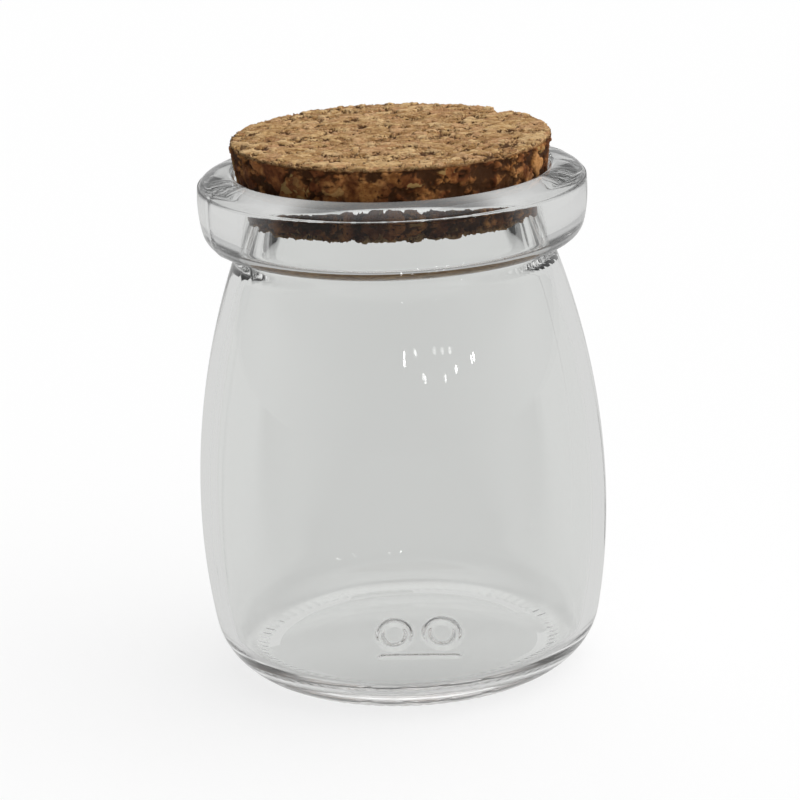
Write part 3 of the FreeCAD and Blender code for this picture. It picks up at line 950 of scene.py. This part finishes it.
def floor_material():
    """A pale floor: white to the eye with a soft shadow, light grey through glass, with a
    painted pool of light under the jar.
    """
    material, make, end = new_material("pale_floor")
    path = make.add("ShaderNodeLightPath")
    bright = make.add("ShaderNodeBsdfDiffuse", {"Color": FLOOR_PALE})
    white = make.add("ShaderNodeEmission", {"Color": WHITE, "Strength": 1.0})
    seen = make.add("ShaderNodeMixShader", {0: 0.8, 1: bright.outputs[0], 2: white.outputs[0]})

    place = make.add("ShaderNodeTexCoord").outputs["Object"]
    dim = make.step(make.parts(place)[1], *AHEAD_OF_JAR)
    dim = make.times(dim, path.outputs["Is Glossy Ray"])
    level = make.math("SUBTRACT", 1.0, dim)
    # painted pool of light: seen through the glass, the floor glows brighter under the jar
    level = make.times(level, make.step(make.vector("LENGTH", place), *LIGHT_POOL_UNDER_JAR))
    matte = make.add("ShaderNodeBsdfDiffuse", {"Color": FLOOR_GREY})
    grey = make.add("ShaderNodeEmission", {"Color": FLOOR_GREY, "Strength": level})
    glazed = make.add("ShaderNodeMixShader", {0: 0.94, 1: matte.outputs[0], 2: grey.outputs[0]})

    through = make.add("ShaderNodeMixShader", {
        0: path.outputs["Is Camera Ray"], 1: glazed.outputs[0], 2: seen.outputs[0]})
    make.tree.links.new(through.outputs[0], end.inputs["Surface"])
    return material


def make_floor():
    """A wide pale disc under the jar."""
    mesh = bmesh.new()
    bmesh.ops.create_circle(mesh, cap_ends=True, segments=FLOOR_SEGMENTS, radius=FLOOR_RADIUS)
    data = bpy.data.meshes.new("pale_floor")
    mesh.to_mesh(data)
    mesh.free()
    data.materials.append(floor_material())
    link(bpy.data.objects.new("pale_floor", data))


def make_world():
    """Soft light from all round: bright above, dimmer in front; white to the eye."""
    world = bpy.data.worlds.new("studio")
    world.use_nodes = True
    world.node_tree.nodes.clear()
    make = NodeMaker(world.node_tree)
    end = make.add("ShaderNodeOutputWorld")
    x, y, z = make.parts(make.add("ShaderNodeTexCoord").outputs["Generated"])
    path = make.add("ShaderNodeLightPath")

    mirrored = path.outputs["Is Glossy Ray"]
    low = make.step(z, 0.12, 0.32, ROOM_LOW, ROOM_MIDDLE)
    beside = make.step(make.math("ABSOLUTE", x), 0.25, 0.7, 0.0, 1.0 - ROOM_SIDES)
    beside = make.times(beside, make.step(z, 0.15, 0.3))
    low = make.times(low, make.math("SUBTRACT", 1.0, beside))
    front = make.step(y, 0.1, -0.6, 1.0, FRONT_SEEN)
    dark = make.step(y, 0.1, -0.6, *FRONT_GLOSS)
    front = make.times(front, make.math("SUBTRACT", 1.0, mirrored))
    front = make.math("ADD", front, make.times(dark, mirrored))
    high = make.step(z, 0.55, 0.95, 0.0, ROOM_TOP)
    room = make.math("ADD", make.times(low, front), high)

    soft = make.step(z, 0.0, 0.9, *SOFT_LIGHT)
    toward = make.math("ADD", make.times(y, 0.6), x)
    soft = make.times(soft, make.step(toward, 0.8, -0.7, FACING_LIGHT, 0.0))
    diffuse = make.math("GREATER_THAN", path.outputs["Diffuse Depth"], 0.5)
    strength = make.math("ADD", make.times(diffuse, soft),
                         make.times(make.math("SUBTRACT", 1.0, diffuse), room))
    camera = path.outputs["Is Camera Ray"]
    strength = make.times(strength, make.math("SUBTRACT", 1.0, camera))
    strength = make.math("ADD", strength, camera)
    glow = make.add("ShaderNodeBackground", {"Color": WHITE, "Strength": strength})
    make.tree.links.new(glow.outputs[0], end.inputs["Surface"])
    bpy.context.scene.world = world


def make_lamp():
    """One broad soft lamp above, a little to the right and in front."""
    light = bpy.data.lights.new("overhead", "SUN")
    light.energy = LAMP_ENERGY
    light.angle = LAMP_ANGLE
    obj = link(bpy.data.objects.new("overhead", light))
    obj.rotation_euler = LAMP_WAY.to_track_quat("-Z", "Y").to_euler()
    obj.visible_glossy = False
    obj.visible_transmission = False


def make_glints():
    """Small far lamps, too weak to light anything, that glint on the front of the glass."""
    for i, (*place, energy) in enumerate(GLINTS):
        light = bpy.data.lights.new(f"glint_{i}", "POINT")
        light.energy = energy
        light.shadow_soft_size = GLINT_RADIUS
        obj = link(bpy.data.objects.new(f"glint_{i}", light))
        obj.location = place
        obj.visible_camera = False


def make_camera(settings):
    """The camera, aimed at a height on the jar's axis and turned by the roll."""
    data = bpy.data.cameras.new("camera")
    data.lens = settings.lens
    data.sensor_width = SENSOR_WIDTH
    data.clip_start = NEAREST_SEEN
    obj = link(bpy.data.objects.new("camera", data))
    aim = Vector((0, 0, settings.camera_height))
    back = Vector((0, -math.cos(settings.camera_elevation), math.sin(settings.camera_elevation)))
    obj.location = aim + back * settings.camera_distance
    obj.rotation_euler = (math.pi / 2 - settings.camera_elevation, 0, 0)
    obj.rotation_euler.rotate_axis("Z", -settings.camera_roll)
    bpy.context.scene.camera = obj


class JAR_OT_stage(bpy.types.Operator):
    """Build the floor, the light and the camera"""

    bl_idname = "jar.stage"
    bl_label = "Studio"

    def execute(self, context):
        make_floor()
        make_world()
        make_lamp()
        make_glints()
        make_camera(context.scene.jar_stage)
        context.scene.view_settings.view_transform = "Standard"
        context.scene.cycles.max_bounces = BOUNCES
        context.scene.cycles.transmission_bounces = BOUNCES
        context.scene.cycles.glossy_bounces = BOUNCES
        return {"FINISHED"}


class JAR_PT_panel(bpy.types.Panel):
    """The jar's pieces in the sidebar"""

    bl_idname = "JAR_PT_panel"
    bl_label = "Corked jar"
    bl_space_type = "VIEW_3D"
    bl_region_type = "UI"
    bl_category = "Jar"

    def draw(self, context):
        for operator in OPERATORS:
            self.layout.operator(operator.bl_idname)


OPERATORS = (JAR_OT_glass, JAR_OT_cork, JAR_OT_stage)
CLASSES = (JarSettings, CorkSettings, StageSettings, *OPERATORS, JAR_PT_panel)


def register():
    for item in CLASSES:
        bpy.utils.register_class(item)
    bpy.types.Scene.jar_glass = bpy.props.PointerProperty(type=JarSettings)
    bpy.types.Scene.jar_cork = bpy.props.PointerProperty(type=CorkSettings)
    bpy.types.Scene.jar_stage = bpy.props.PointerProperty(type=StageSettings)


def unregister():
    del bpy.types.Scene.jar_stage
    del bpy.types.Scene.jar_cork
    del bpy.types.Scene.jar_glass
    for item in reversed(CLASSES):
        bpy.utils.unregister_class(item)


def main():
    """Register the classes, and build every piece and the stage."""
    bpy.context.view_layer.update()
    register()
    bpy.ops.jar.glass()
    bpy.ops.jar.cork()
    bpy.ops.jar.stage()


if __name__ == "__main__":
    main()
